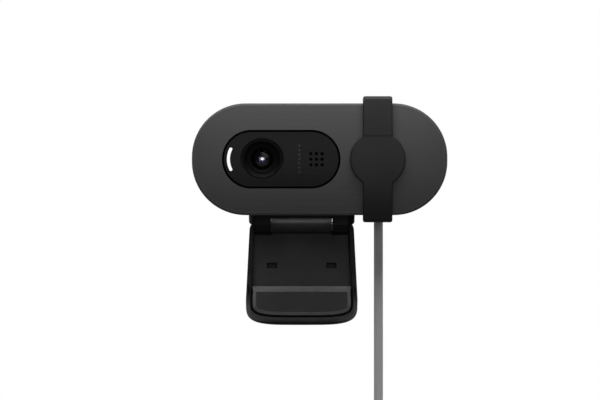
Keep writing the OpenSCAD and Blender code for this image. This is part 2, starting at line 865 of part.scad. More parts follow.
module coil_tie() {
    color("black") translate([cord_at, cord_y, coil_z]) rotate([90, 0, 0])
        rotate([0, 0, -tie_angle / 2]) rotate_extrude(angle = tie_angle) translate([coil_d / 2, 0])
            difference() {
                circle(d = coil_t + 2 * seat_clear + 2 * tie_t);
                circle(d = coil_t + 2 * seat_clear);
            }
}

module plug_body() {
    color("black") translate([cord_at, cord_y, plug_top]) {
        translate([0, 0, -5]) cylinder(r1 = 2.6, r2 = 1.8, h = 5);
        difference() {
            for (s = [-1, 1]) {
                translate([s * (plug_w - plug_t) / 2, 0, -plug_l - 5]) cylinder(d = plug_t, h = plug_l);
                block(-(plug_w - plug_t) / 2, (plug_w - plug_t) / 2, -plug_t / 2, plug_t / 2, -plug_l - 5, -5);
            }
            block(-shell_w / 2, shell_w / 2, -shell_t / 2, shell_t / 2, -plug_l - 6, -plug_l + 2);
            for (s = [-1, 1], i = [0:4])
                translate([0, s * plug_t / 2, -9 - i * grip_pitch])
                    cube([grip_w, 2 * grip_depth, grip_pitch / 2], center = true);
        }
    }
}

module plug_shell() {
    color("silver") translate([cord_at, cord_y, plug_top - plug_l + 2 - shell_l]) difference() {
        block(-shell_w / 2, shell_w / 2, -shell_t / 2, shell_t / 2, 0, shell_l);
        block(shell_wall - shell_w / 2, shell_w / 2 - shell_wall, shell_wall - shell_t / 2,
              shell_t / 2 - shell_wall, -1, shell_l + 1);
        for (s = [-1, 1])
            block(s * 3 - 1.2, s * 3 + 1.2, -shell_t, shell_t, 3, 5.4);
    }
}

module plug_insert() {
    color("white") translate([cord_at, cord_y, plug_top - plug_l + 2 - shell_l])
        block(shell_wall - shell_w / 2, shell_w / 2 - shell_wall, shell_wall - shell_t / 2,
              -0.1, 0.5, shell_l);
}

front_housing();
rear_housing();
face_plate();
lens_bezel();
lens_barrel();
front_lens();
rear_lens();
lens_holder();
ir_filter();
image_sensor();
main_board();
board_screws();
led();
light_guide();
microphone();
mic_boot();
cable_header();
cable_gland();
tilt_pin();
tilt_washers();
shutter_band();
clip_base();
seat_pads();
leg_pin();
leg_panel();
leg_shell();
leg_pad();
usb_cable();
cable_coil();
coil_tie();
plug_body();
plug_shell();
plug_insert();
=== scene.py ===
# Clip-on webcam with a sliding privacy band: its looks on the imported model.
# Metres throughout, in the model's own frame.
import bpy
import json
import math
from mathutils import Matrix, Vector

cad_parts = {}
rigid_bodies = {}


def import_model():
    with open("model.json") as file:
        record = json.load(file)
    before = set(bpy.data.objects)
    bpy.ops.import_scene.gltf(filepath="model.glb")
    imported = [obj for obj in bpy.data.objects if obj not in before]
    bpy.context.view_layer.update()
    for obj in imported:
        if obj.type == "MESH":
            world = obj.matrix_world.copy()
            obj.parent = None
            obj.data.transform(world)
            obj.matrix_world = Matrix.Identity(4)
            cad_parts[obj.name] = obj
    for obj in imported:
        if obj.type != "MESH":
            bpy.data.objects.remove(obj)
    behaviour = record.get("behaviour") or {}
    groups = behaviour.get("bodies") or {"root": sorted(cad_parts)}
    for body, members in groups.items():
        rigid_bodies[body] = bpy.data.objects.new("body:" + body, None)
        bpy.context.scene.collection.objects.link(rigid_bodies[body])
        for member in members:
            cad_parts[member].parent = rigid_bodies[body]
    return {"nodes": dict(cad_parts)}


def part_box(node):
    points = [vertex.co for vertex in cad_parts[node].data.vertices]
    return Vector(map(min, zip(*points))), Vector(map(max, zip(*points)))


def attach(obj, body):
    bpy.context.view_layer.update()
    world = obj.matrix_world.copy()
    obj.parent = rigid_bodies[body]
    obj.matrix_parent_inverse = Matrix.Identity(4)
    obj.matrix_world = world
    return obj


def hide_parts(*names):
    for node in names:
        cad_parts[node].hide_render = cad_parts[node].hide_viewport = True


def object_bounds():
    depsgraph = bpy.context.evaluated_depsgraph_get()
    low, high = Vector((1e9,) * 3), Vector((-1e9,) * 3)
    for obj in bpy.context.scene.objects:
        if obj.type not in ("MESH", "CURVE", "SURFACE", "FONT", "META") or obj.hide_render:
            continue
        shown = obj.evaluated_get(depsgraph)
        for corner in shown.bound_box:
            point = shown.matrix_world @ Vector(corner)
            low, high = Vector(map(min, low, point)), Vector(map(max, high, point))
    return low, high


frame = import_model()
cad_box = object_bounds()
node = frame["nodes"]
MM = 0.001


def corners(name):
    """A node's lowest and highest corners."""
    return [Vector(corner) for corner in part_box(name)]


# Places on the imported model, and sizes that the part's source fixes
head_low, head_high = corners("front_housing")
head_centre = Vector(((head_low.x + head_high.x) / 2, head_low.y, (head_low.z + head_high.z) / 2))
cable_exit = Vector((0.022, -0.001, -0.0006))
cable_d = 0.0026
cable_pitch = 0.0025
coil_centre = Vector((0.022, -0.001, -0.084))
coil_r = 0.0165
plug_top = -0.116
lens_centre = sum(corners("front_lens"), Vector()) / 2
plate_low, plate_high = corners("face_plate")
plate_flange = 1.5 * MM
light_radius, light_width = 6.5 * MM, 0.95 * MM
print_centre = head_centre + Vector((-5.8, 0, 0.1)) * MM
print_pitch = 1.25 * MM


def deselect():
    for piece in bpy.context.view_layer.objects:
        piece.select_set(False)


# ---------- camera ----------

def add_camera():
    """A long lens, level and straight in front of a point a little left of the head's middle and below it."""
    distance, aside, height = 2.0, 0.0056, 0.00538
    view_width = 0.1709
    sensor_width = 36
    bpy.ops.object.camera_add(
        location=(head_centre.x - aside, head_centre.y - distance, height),
        rotation=(math.radians(90), 0, 0))
    camera = bpy.context.object
    camera.name = "studio_camera"
    camera.data.sensor_width = sensor_width
    camera.data.lens = sensor_width * distance / view_width
    camera.data.clip_end = 30
    bpy.context.scene.camera = camera


add_camera()


# ---------- cable ----------

# The lead is wound 13.5 times, so a cut through the bundle shows fourteen places of the wire. They follow in
# the order of winding, each as its place outwards from the ring and its place along the ring's axis.
turns = 13.5
row = cable_pitch * math.sqrt(3) / 2
half = cable_pitch / 2
winding = [(2 * row, -half), (row, -2 * half), (0, -3 * half), (-row, -2 * half),
           (-2 * row, -half), (-2 * row, half), (-row, 2 * half), (0, 3 * half),
           (row, 2 * half), (0, half), (-row, 0), (0, -half), (row, 0), (2 * row, half)]


def eased(t):
    t = min(max(t, 0.0), 1.0)
    return t * t * (3 - 2 * t)


def coil_point(turn):
    """A point of the coil, after so many turns clockwise from its top."""
    first_move, move_time, stray = 0.64, 0.24, 0.00009
    moved = turn - first_move
    k = min(max(int(math.floor(moved)), -1), len(winding) - 2)
    a, b = winding[max(k, 0)], winding[k + 1]
    t = eased((moved - k) / move_time) if k >= 0 else 0.0
    out = a[0] + (b[0] - a[0]) * t + stray * math.sin(5.1 * turn + 0.4)
    along = a[1] + (b[1] - a[1]) * t + stray * math.sin(3.7 * turn + 1.9)
    angle = 2 * math.pi * turn
    r = coil_r + out
    return coil_centre + Vector((r * math.sin(angle), along, r * math.cos(angle)))


def cable_route():
    """Straight down from the exit, round the coil, and straight down to the plug."""
    bend = 0.0055
    straight_steps, bend_steps, coil_steps, plug_steps = 12, 6, 403, 3
    outer = coil_r + 2 * row
    lean = math.asin(bend / (outer + bend))
    rise = (outer + bend) * math.cos(lean)
    top, bottom = coil_centre.z + rise, coil_centre.z - rise

    def bend_point(step, side, height):
        """A point of the bend that leads off the straight lead, on the coil's near or far side."""
        a = (math.pi / 2 - lean) * step / bend_steps
        return Vector((cable_exit.x + bend - bend * math.cos(a),
                       cable_exit.y + side * half * eased(step / bend_steps),
                       height + side * bend * math.sin(a)))

    points = [Vector((cable_exit.x, cable_exit.y, cable_exit.z + (top - cable_exit.z) * i / straight_steps))
              for i in range(straight_steps + 1)]
    points += [bend_point(i, -1, top) for i in range(1, bend_steps + 1)]
    start = lean / (2 * math.pi)
    end = turns - start
    points += [coil_point(start + (end - start) * i / coil_steps) for i in range(1, coil_steps)]
    points += [bend_point(i, 1, bottom) for i in range(bend_steps, -1, -1)]
    points += [Vector((cable_exit.x, cable_exit.y, bottom + (plug_top - bottom) * i / plug_steps))
               for i in range(1, plug_steps + 1)]
    return points


def add_cable():
    route = cable_route()
    curve = bpy.data.curves.new("usb_lead", "CURVE")
    curve.dimensions = "3D"
    spline = curve.splines.new("POLY")
    spline.points.add(len(route) - 1)
    for point, place in zip(spline.points, route):
        point.co = (place.x, place.y, place.z, 1)
    spline.use_smooth = True
    curve.bevel_depth = cable_d / 2
    curve.bevel_resolution = 6
    curve.use_fill_caps = True
    cable = bpy.data.objects.new("usb_lead", curve)
    bpy.context.scene.collection.objects.link(cable)
    deselect()
    cable.select_set(True)
    bpy.context.view_layer.objects.active = cable
    bpy.ops.object.convert(target="MESH")
    cable = bpy.context.object
    bpy.ops.object.shade_smooth()
    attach(cable, "head")
    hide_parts("usb_cable", "cable_coil")
    return cable


usb_lead = add_cable()


# ---------- moulded edges ----------

def merged_copy(source, body):
    """A copy of a piece in its place, its loose triangles joined, which stands for it."""
    piece = node[source].copy()
    piece.data = node[source].data.copy()
    piece.name = source + "_moulded"
    bpy.context.scene.collection.objects.link(piece)
    deselect()
    piece.select_set(True)
    bpy.context.view_layer.objects.active = piece
    bpy.ops.object.mode_set(mode="EDIT")
    bpy.ops.mesh.select_all(action="SELECT")
    bpy.ops.mesh.remove_doubles(threshold=0.002 * MM)
    bpy.ops.object.mode_set(mode="OBJECT")
    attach(piece, body)
    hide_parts(source)
    return piece


def moulded_copy(source, body, grain, passes):
    """A copy with the small rounds that a mould leaves: skinned at a fine grain, eased and thinned."""
    piece = merged_copy(source, body)
    skin = piece.modifiers.new("skin", "REMESH")
    skin.mode = "VOXEL"
    skin.voxel_size = grain
    ease = piece.modifiers.new("ease", "SMOOTH")
    ease.factor = 0.5
    ease.iterations = passes
    thin = piece.modifiers.new("thin", "DECIMATE")
    thin.ratio = 0.3
    for step in ("skin", "ease", "thin"):
        bpy.ops.object.modifier_apply(modifier=step)
    bpy.ops.object.shade_smooth()
    return piece


def close_fit_panel(left, right):
    """The leg's panel, its knuckle's ends run out to a close fit between the clip's rails."""
    piece = merged_copy("leg_panel", "leg")
    end_from, end_to = 8.4 * MM, 9.0 * MM
    knuckle_foot = corners("leg_pin")[0].z - 0.5 * MM
    for side, step in ((-1, left), (1, right)):
        bpy.ops.object.mode_set(mode="EDIT")
        bpy.ops.mesh.select_all(action="DESELECT")
        bpy.ops.object.mode_set(mode="OBJECT")
        for vertex in piece.data.vertices:
            vertex.select = end_from < side * vertex.co.x < end_to and vertex.co.z > knuckle_foot
        bpy.ops.object.mode_set(mode="EDIT")
        bpy.ops.transform.translate(value=(side * step, 0, 0))
        bpy.ops.object.mode_set(mode="OBJECT")
    bpy.ops.object.shade_smooth_by_angle(angle=math.radians(12))
    return piece


band = moulded_copy("shutter_band", "shutter", grain=0.15 * MM, passes=14)
panel = close_fit_panel(left=0.08 * MM, right=0.14 * MM)


# ---------- nodes ----------

def new_group(name, inputs, outputs):
    group = bpy.data.node_groups.new(name, "ShaderNodeTree")
    for label, kind, value in inputs:
        socket = group.interface.new_socket(name=label, in_out="INPUT", socket_type=kind)
        socket.default_value = value
    for label, kind in outputs:
        group.interface.new_socket(name=label, in_out="OUTPUT", socket_type=kind)
    return group, group.nodes.new("NodeGroupInput"), group.nodes.new("NodeGroupOutput")


def feed(tree, socket, value):
    """Links a socket to a node's output, or sets it to a plain number, vector or colour."""
    if isinstance(value, bpy.types.NodeSocket):
        tree.links.new(value, socket)
    else:
        socket.default_value = value


def math_node(tree, operation, a, b=None, c=None):
    n = tree.nodes.new("ShaderNodeMath")
    n.operation = operation
    for socket, value in zip(n.inputs, (a, b, c)):
        if value is not None:
            feed(tree, socket, value)
    return n.outputs[0]


def noise(tree, vector, scale, detail=2.0, roughness=0.5):
    n = tree.nodes.new("ShaderNodeTexNoise")
    n.inputs["Detail"].default_value = detail
    n.inputs["Roughness"].default_value = roughness
    tree.links.new(vector, n.inputs["Vector"])
    feed(tree, n.inputs["Scale"], scale)
    return n.outputs["Fac"]


def ramp(tree, factor, low, high, to_low=0.0, to_high=1.0):
    n = tree.nodes.new("ShaderNodeMapRange")
    n.interpolation_type = "SMOOTHSTEP"
    tree.links.new(factor, n.inputs["Value"])
    for label, value in (("From Min", low), ("From Max", high), ("To Min", to_low), ("To Max", to_high)):
        n.inputs[label].default_value = value
    return n.outputs["Result"]


def mix(tree, factor, a, b):
    n = tree.nodes.new("ShaderNodeMix")
    n.data_type = "RGBA"
    for label, value in (("Factor", factor), ("A", a), ("B", b)):
        feed(tree, n.inputs[label], value)
    return n.outputs["Result"]


def object_place(tree):
    return tree.nodes.new("ShaderNodeTexCoord").outputs["Object"]


def parts(tree, vector):
    """A vector's parts, by the names X, Y and Z."""
    n = tree.nodes.new("ShaderNodeSeparateXYZ")
    tree.links.new(vector, n.inputs[0])
    return n.outputs


def place_parts(tree):
    return parts(tree, object_place(tree))


def normal_parts(tree):
    return parts(tree, tree.nodes.new("ShaderNodeTexCoord").outputs["Normal"])


def make_moulded():
    """Spark-eroded plastic: fine grain, slight mottling and patches worn smoother."""
    group, given, out = new_group(
        "moulded_plastic",
        [("Colour", "NodeSocketColor", (0.05, 0.05, 0.05, 1)), ("Mottle", "NodeSocketFloat", 0.06),
         ("Grain Scale", "NodeSocketFloat", 5200.0), ("Roughness", "NodeSocketFloat", 0.5)],
        [("Colour", "NodeSocketColor"), ("Roughness", "NodeSocketFloat"), ("Height", "NodeSocketFloat")])
    place = object_place(group)
    grain = noise(group, place, given.outputs["Grain Scale"], 1.5, 0.6)
    patches = noise(group, place, 95.0, 3.0, 0.55)
    specks = ramp(group, noise(group, place, 1700.0, 1.0), 0.6, 0.75)
    shade = math_node(group, "MULTIPLY", math_node(group, "SUBTRACT", grain, 0.5), given.outputs["Mottle"])
    shade = math_node(group, "MULTIPLY_ADD", math_node(group, "SUBTRACT", patches, 0.5), 0.08, shade)
    gain = math_node(group, "ADD", shade, 1.0)
    scale = group.nodes.new("ShaderNodeVectorMath")
    scale.operation = "SCALE"
    group.links.new(given.outputs["Colour"], scale.inputs[0])
    group.links.new(gain, scale.inputs["Scale"])
    group.links.new(scale.outputs["Vector"], out.inputs["Colour"])
    rubbed_and_rim_light = ramp(group, patches, 0.45, 0.65, 0.0, 0.06)
    rough = math_node(group, "SUBTRACT", given.outputs["Roughness"], rubbed_and_rim_light)
    rough = math_node(group, "MULTIPLY_ADD", specks, 0.04, rough)
    group.links.new(rough, out.inputs["Roughness"])
    group.links.new(grain, out.inputs["Height"])
    return group


def make_dust():
    """Fine dust that settles on what faces up, in soft clouds and fine specks."""
    group, given, out = new_group(
        "settled_dust",
        [("Colour", "NodeSocketColor", (0.05, 0.05, 0.05, 1)), ("Amount", "NodeSocketFloat", 0.03)],
        [("Colour", "NodeSocketColor")])
    facing = parts(group, group.nodes.new("ShaderNodeNewGeometry").outputs["Normal"])
    up = ramp(group, facing["Z"], 0.55, 1.0)
    place = object_place(group)
    cloud = ramp(group, noise(group, place, 210.0, 4.0, 0.6), 0.42, 0.72)
    speck = ramp(group, noise(group, place, 3800.0, 1.0), 0.66, 0.74)
    cover = math_node(group, "MULTIPLY", math_node(group, "MULTIPLY_ADD", speck, 1.2, cloud), up)
    cover = math_node(group, "MULTIPLY", cover, given.outputs["Amount"])
    dust_grey = (0.42, 0.41, 0.39, 1)
    group.links.new(mix(group, cover, given.outputs["Colour"], dust_grey), out.inputs["Colour"])
    return group


def make_rim_shading():
    """Where a front face rolls over into its sides, the surface takes the rim colour given, in patches:
    painted rim light and painted rim shade.
    """
    group, given, out = new_group(
        "rim_shading",
        [("Colour", "NodeSocketColor", (0.05, 0.05, 0.05, 1)),
         ("Rubbed", "NodeSocketColor", (0.1, 0.1, 0.1, 1))],
        [("Colour", "NodeSocketColor")])
    forward = math_node(group, "MULTIPLY", normal_parts(group)["Y"], -1.0)
    rim = math_node(group, "MULTIPLY", ramp(group, forward, 0.985, 0.90), ramp(group, forward, 0.25, 0.6))
    patches = noise(group, object_place(group), 420.0, 3.0)
    rim = math_node(group, "MULTIPLY", rim, ramp(group, patches, 0.2, 0.6, 0.7, 1.0))
    group.links.new(mix(group, rim, given.outputs["Colour"], given.outputs["Rubbed"]), out.inputs["Colour"])
    return group


def make_plate_edge():
    """How far a point lies outside the face plate's pill-shaped outline, seen from the front."""
    group, given, out = new_group("plate_edge", [], [("Outside", "NodeSocketFloat")])
    place = place_parts(group)
    centre = (plate_low + plate_high) / 2
    half_w = (plate_high.x - plate_low.x) / 2 - plate_flange
    half_h = (plate_high.z - plate_low.z) / 2 - plate_flange
    across = math_node(group, "ABSOLUTE", math_node(group, "SUBTRACT", place["X"], centre.x))
    across = math_node(group, "MAXIMUM", math_node(group, "SUBTRACT", across, half_w - half_h), 0.0)
    rise = math_node(group, "ABSOLUTE", math_node(group, "SUBTRACT", place["Z"], centre.z))
    across, rise = (math_node(group, "POWER", span, 2.0) for span in (across, rise))
    away = math_node(group, "SQRT", math_node(group, "ADD", across, rise))
    group.links.new(math_node(group, "SUBTRACT", away, half_h), out.inputs["Outside"])
    return group


moulded = make_moulded()
dust = make_dust()
plate_edge = make_plate_edge()
rim_shading = make_rim_shading()


# ---------- materials ----------

# Painted shade: this near-black stands for shade in recesses, gaps, under the foot and on dark rims.
painted_shade_black = (0.002, 0.002, 0.002, 1)
deep_black = (0.003, 0.003, 0.003, 1)
# Painted light: this grey stands for light on the leg towards its foot, where the head's shade thins.
painted_light_grey = (0.085, 0.085, 0.087, 1)


def new_material(name, **sockets):
    material = bpy.data.materials.new(name)
    material.use_nodes = True
    shader = material.node_tree.nodes["Principled BSDF"]
    for label, value in sockets.items():
        shader.inputs[label.replace("_", " ")].default_value = value
    return material, material.node_tree, shader


def place_group(tree, group, **values):
    n = tree.nodes.new("ShaderNodeGroup")
    n.node_tree = group
    for label, value in values.items():
        feed(tree, n.inputs[label.replace("_", " ")], value)
    return n


def bump(tree, shader, height, distance):
    n = tree.nodes.new("ShaderNodeBump")
    n.inputs["Strength"].default_value = 1.0
    n.inputs["Distance"].default_value = distance
    tree.links.new(height, n.inputs["Height"])
    tree.links.new(n.outputs["Normal"], shader.inputs["Normal"])


def vector_node(tree, operation, a, b=None):
    n = tree.nodes.new("ShaderNodeVectorMath")
    n.operation = operation
    for socket, value in zip(n.inputs, (a, b)):
        if value is not None:
            feed(tree, socket, value)
    return n.outputs


def from_axis(tree, centre):
    """How far a point lies from an axis that runs straight back through a centre."""
    away = vector_node(tree, "SUBTRACT", object_place(tree), centre)["Vector"]
    flat = vector_node(tree, "MULTIPLY", away, (1, 0, 1))["Vector"]
    return vector_node(tree, "LENGTH", flat)["Value"]


def plastic(name, colour, roughness, mottle=0.06, grain=5200.0, depth=0.000012, dusty=0.03, **sockets):
    """Moulded plastic with its grain, mottling and a trace of dust."""
    material, tree, shader = new_material(name, **sockets)
    surface = place_group(tree, moulded, Colour=(*colour, 1), Mottle=mottle, Grain_Scale=grain,
                          Roughness=roughness)
    film_and_painted_reflection = place_group(tree, dust, Colour=surface.outputs["Colour"], Amount=dusty)
    tree.links.new(film_and_painted_reflection.outputs["Colour"], shader.inputs["Base Color"])
    tree.links.new(surface.outputs["Roughness"], shader.inputs["Roughness"])
    bump(tree, shader, surface.outputs["Height"], depth)
    return material, tree, shader, film_and_painted_reflection


def make_pad():
    """The foot pad's rubber, with a painted highlight round its front rim, brightest on its sides and foot.
    """
    material, tree, shader, film_and_painted_reflection = plastic("pad_rubber", (0.060, 0.060, 0.062), 0.62, grain=3600.0,
                                           depth=0.00002)
    # Painted highlight on the rim, paler where the rim faces sideways or down.
    upward = ramp(tree, normal_parts(tree)["Z"], 0.1, 0.45)
    rubbed_and_rim_light = mix(tree, upward, (0.32, 0.32, 0.325, 1), (0.17, 0.17, 0.175, 1))
    rim = place_group(tree, rim_shading, Colour=film_and_painted_reflection.outputs["Colour"], Rubbed=rubbed_and_rim_light)
    tree.links.new(rim.outputs["Colour"], shader.inputs["Base Color"])
    return material


def make_band():
    """The band's satin black, with painted shade towards its foot and where it rolls over into its sides."""
    material, tree, shader, film_and_painted_reflection = plastic("band_shell", (0.017, 0.017, 0.018), 0.5, Specular_IOR_Level=0.35)
    band_foot = corners("shutter_band")[0].z
    # Painted shade: black on faces turned sideways, and darker towards the band's foot.
    side = ramp(tree, math_node(tree, "ABSOLUTE", normal_parts(tree)["X"]), 0.12, 0.5)
    foot = ramp(tree, place_parts(tree)["Z"], band_foot + 12 * MM, band_foot + 1 * MM, 0.0, 0.75)
    tone = mix(tree, foot, film_and_painted_reflection.outputs["Colour"], deep_black)
    tree.links.new(mix(tree, side, tone, deep_black), shader.inputs["Base Color"])
    return material


def make_leg_shell():
    """The leg's black shell: painted light towards its foot, and painted shade under the foot and inside."""
    material, tree, shader, film_and_painted_reflection = plastic("leg_shell_black", (0.020, 0.020, 0.0205), 0.46,
                                           Specular_IOR_Level=0.25)
    place = place_parts(tree)
    low, high = corners("leg_shell")
    tall = high.z - low.z
    # Painted light towards the foot, where the head's shade thins; painted shade under the foot.
    down = ramp(tree, place["Z"], low.z + 0.34 * tall, low.z + 0.1 * tall)
    under = ramp(tree, place["Z"], low.z + 2.0 * MM, low.z + 0.5 * MM)
    face = mix(tree, under, mix(tree, down, film_and_painted_reflection.outputs["Colour"], painted_light_grey), painted_shade_black)
    # Rim colour: painted shade on the upper rims, painted highlight on the rims near the foot.
    rolled = mix(tree, under, mix(tree, down, (0.006, 0.006, 0.006, 1), (0.20, 0.20, 0.205, 1)), painted_shade_black)
    rim = place_group(tree, rim_shading, Colour=face, Rubbed=rolled)
    # Painted shade on the faces set back inside the shell.
    inside = math_node(tree, "MULTIPLY", ramp(tree, place["Y"], low.y + 0.75 * MM, low.y + 0.95 * MM),
                       ramp(tree, normal_parts(tree)["Y"], -0.2, -0.5))
    tree.links.new(mix(tree, inside, rim.outputs["Colour"], painted_shade_black), shader.inputs["Base Color"])
    return material


def make_panel():
    """The leg's panel, painted lighter towards its foot as light where the head's shade thins, and left
    darker along its sides.
    """
    material, tree, shader, film_and_painted_reflection = plastic("panel_black", (0.017, 0.017, 0.0175), 0.5, Specular_IOR_Level=0.3)
    place = place_parts(tree)
    low, high = corners("leg_panel")
    # Painted light: lighter towards the foot, kept off the panel's sides.
    down = ramp(tree, place["Z"], high.z - 0.3 * (high.z - low.z), low.z, 0.0, 0.55)
    inner = ramp(tree, math_node(tree, "ABSOLUTE", place["X"]), high.x, high.x - 1.8 * MM)
    painted_light_mask = math_node(tree, "MULTIPLY", down, inner)
    tree.links.new(mix(tree, painted_light_mask, film_and_painted_reflection.outputs["Colour"], painted_light_grey), shader.inputs["Base Color"])
    return material


def make_face():
    """The face plate's smooth black, bare and matte round the lens and past the plate's outline, where it is
    also painted black as shade, with a faint column of printed dashes beside the lens."""
    smooth, bare = 0.36, 1.26
    material, tree, shader, film_and_painted_reflection = plastic("black_face", (0.0135, 0.0135, 0.014), smooth, mottle=0.03,
                                           depth=0.000004, dusty=0.01, Specular_IOR_Level=0.14)
    dashes = 7
    place = place_parts(tree)
    across = math_node(tree, "SUBTRACT", place["X"], print_centre.x)
    across = ramp(tree, math_node(tree, "ABSOLUTE", across), 0.34 * MM, 0.26 * MM)
    rise = math_node(tree, "SUBTRACT", place["Z"], print_centre.z)
    column = ramp(tree, math_node(tree, "ABSOLUTE", rise), print_pitch * dashes / 2,
                  print_pitch * (dashes / 2 - 0.05))
    steps = math_node(tree, "FRACT", math_node(tree, "MULTIPLY_ADD", rise, 1 / print_pitch, dashes * 1.5))
    dash = ramp(tree, math_node(tree, "ABSOLUTE", math_node(tree, "SUBTRACT", steps, 0.5)), 0.3, 0.22)
    ink = math_node(tree, "MULTIPLY", math_node(tree, "MULTIPLY", across, column), dash)
    tone = mix(tree, math_node(tree, "MULTIPLY", ink, 0.4), film_and_painted_reflection.outputs["Colour"], (0.09, 0.09, 0.09, 1))
    outside = place_group(tree, plate_edge).outputs["Outside"]
    # Painted shade: black in the lens dish and past the plate's outline; the same places are made matte.
    coated_and_unshaded = math_node(tree, "MULTIPLY", ramp(tree, from_axis(tree, lens_centre), 5.3 * MM, 6.4 * MM),
                       ramp(tree, outside, 0.05 * MM, -0.1 * MM))
    tree.links.new(mix(tree, coated_and_unshaded, (0.001, 0.001, 0.001, 1), tone), shader.inputs["Base Color"])
    matte = math_node(tree, "SUBTRACT", bare, math_node(tree, "MULTIPLY", coated_and_unshaded, bare - smooth))
    tree.links.new(matte, shader.inputs["Roughness"])
    return material


def make_graphite():
    """The housing's graphite plastic, with painted shade in black on the wall of the window round the face
    plate.
    """
    material, tree, shader, film_and_painted_reflection = plastic("graphite_shell", (0.070, 0.070, 0.071), 0.52)
    # Painted shade: black on the window's wall next to the plate.
    wall = ramp(tree, math_node(tree, "ABSOLUTE", normal_parts(tree)["Y"]), 0.75, 0.55)
    outside = place_group(tree, plate_edge).outputs["Outside"]
    wall = math_node(tree, "MULTIPLY", wall, ramp(tree, outside, 1.0 * MM, 0.8 * MM))
    tree.links.new(mix(tree, wall, film_and_painted_reflection.outputs["Colour"], painted_shade_black), shader.inputs["Base Color"])
    return material


graphite = make_graphite()
band_black = make_band()
clip_black = plastic("clip_black", (0.005, 0.005, 0.0053), 0.50, Specular_IOR_Level=0.18)[0]
pad_rubber = make_pad()
leg_black = make_leg_shell()
panel_black = make_panel()
matte_black = plastic("black_matte", (0.012, 0.012, 0.012), 0.6, dusty=0.0)[0]
bezel_black = plastic("black_bezel", (0.003, 0.003, 0.0032), 0.6, mottle=0.02, dusty=0.0,
                      Specular_IOR_Level=0.12)[0]
face_black = make_face()
rubber = plastic("soft_rubber", (0.040, 0.040, 0.041), 0.66, grain=3600.0, depth=0.00002)[0]
cable_grey = plastic("cable_grey", (0.530, 0.530, 0.535), 0.50, grain=2600.0, depth=0.00001,
                     dusty=0.015)[0]
cable_black = plastic("cable_black", (0.022, 0.022, 0.023), 0.5)[0]
header_white = plastic("header", (0.75, 0.72, 0.62), 0.45, dusty=0.0)[0]
chip_black = plastic("chip", (0.02, 0.022, 0.02), 0.4, dusty=0.0)[0]


def brushed_metal(name, colour, roughness):
    """Metal drawn along its length, with fine lines and cloudy marks."""
    material, tree, shader = new_material(name, Metallic=1.0)
    place = object_place(tree)
    drawn = tree.nodes.new("ShaderNodeMapping")
    drawn.inputs["Scale"].default_value = (1.0, 1.0, 0.05)
    tree.links.new(place, drawn.inputs["Vector"])
    lines = noise(tree, drawn.outputs["Vector"], 3600.0, 2.0)
    marks = noise(tree, place, 225.0, 3.0)
    tone = mix(tree, ramp(tree, marks, 0.35, 0.7), (*[c * 0.86 for c in colour], 1), (*colour, 1))
    tree.links.new(tone, shader.inputs["Base Color"])
    rough = math_node(tree, "MULTIPLY_ADD", lines, 0.14, roughness - 0.07)
    tree.links.new(rough, shader.inputs["Roughness"])
    bump(tree, shader, lines, 0.000004)
    return material


steel = brushed_metal("steel", (0.62, 0.62, 0.61), 0.3)
mic_metal = brushed_metal("mic_metal", (0.06, 0.06, 0.062), 0.45)
blackened = brushed_metal("blackened_steel", (0.09, 0.09, 0.092), 0.42)


def make_board():
    """The board's green lacquer over its copper tracks."""
    material, tree, shader = new_material("board", Roughness=0.35)
    tracks = tree.nodes.new("ShaderNodeTexBrick")
    tracks.inputs["Scale"].default_value = 320.0
    tracks.inputs["Mortar Size"].default_value = 0.03
    tree.links.new(object_place(tree), tracks.inputs["Vector"])
    tone = mix(tree, tracks.outputs["Fac"], (0.012, 0.055, 0.028, 1), (0.03, 0.11, 0.05, 1))
    tree.links.new(tone, shader.inputs["Base Color"])
    bump(tree, shader, tracks.outputs["Fac"], 0.00002)
    return material


def make_light():
    """The lit crescent: a milky guide, brightest along its middle."""
    material, tree, shader = new_material("white_light", Roughness=0.3, Emission_Strength=0.68)
    low, high = corners("light_guide")
    centre = (low.x + light_width / 2 + light_radius, low.y, (low.z + high.z) / 2)
    off_middle = math_node(tree, "SUBTRACT", from_axis(tree, centre), light_radius)
    edge = ramp(tree, math_node(tree, "ABSOLUTE", off_middle), 0.36 * MM, light_width / 2)
    cloud = noise(tree, object_place(tree), 900.0, 2.0)
    tone = mix(tree, cloud, (0.70, 0.72, 0.74, 1), (0.78, 0.79, 0.80, 1))
    tree.links.new(mix(tree, edge, tone, (0.1, 0.1, 0.1, 1)), shader.inputs["Base Color"])
    glow = mix(tree, ramp(tree, cloud, 0.2, 0.8), (0.9, 0.93, 0.98, 1), (1, 1, 1, 1))
    tree.links.new(mix(tree, edge, glow, (0.06, 0.06, 0.06, 1)), shader.inputs["Emission Color"])
    return material


def new_glass(name, roughness):
    return new_material(name, Roughness=roughness, IOR=1.6, Transmission_Weight=1.0)


def make_filter_glass():
    """The infrared filter's pale blue glass."""
    material, tree, shader = new_glass("filter_glass", 0.02)
    film_and_painted_reflection = noise(tree, object_place(tree), 500.0, 3.0)
    tone = mix(tree, film_and_painted_reflection, (0.55, 0.75, 0.85, 1), (0.572, 0.78, 0.884, 1))
    tree.links.new(tone, shader.inputs["Base Color"])
    return material


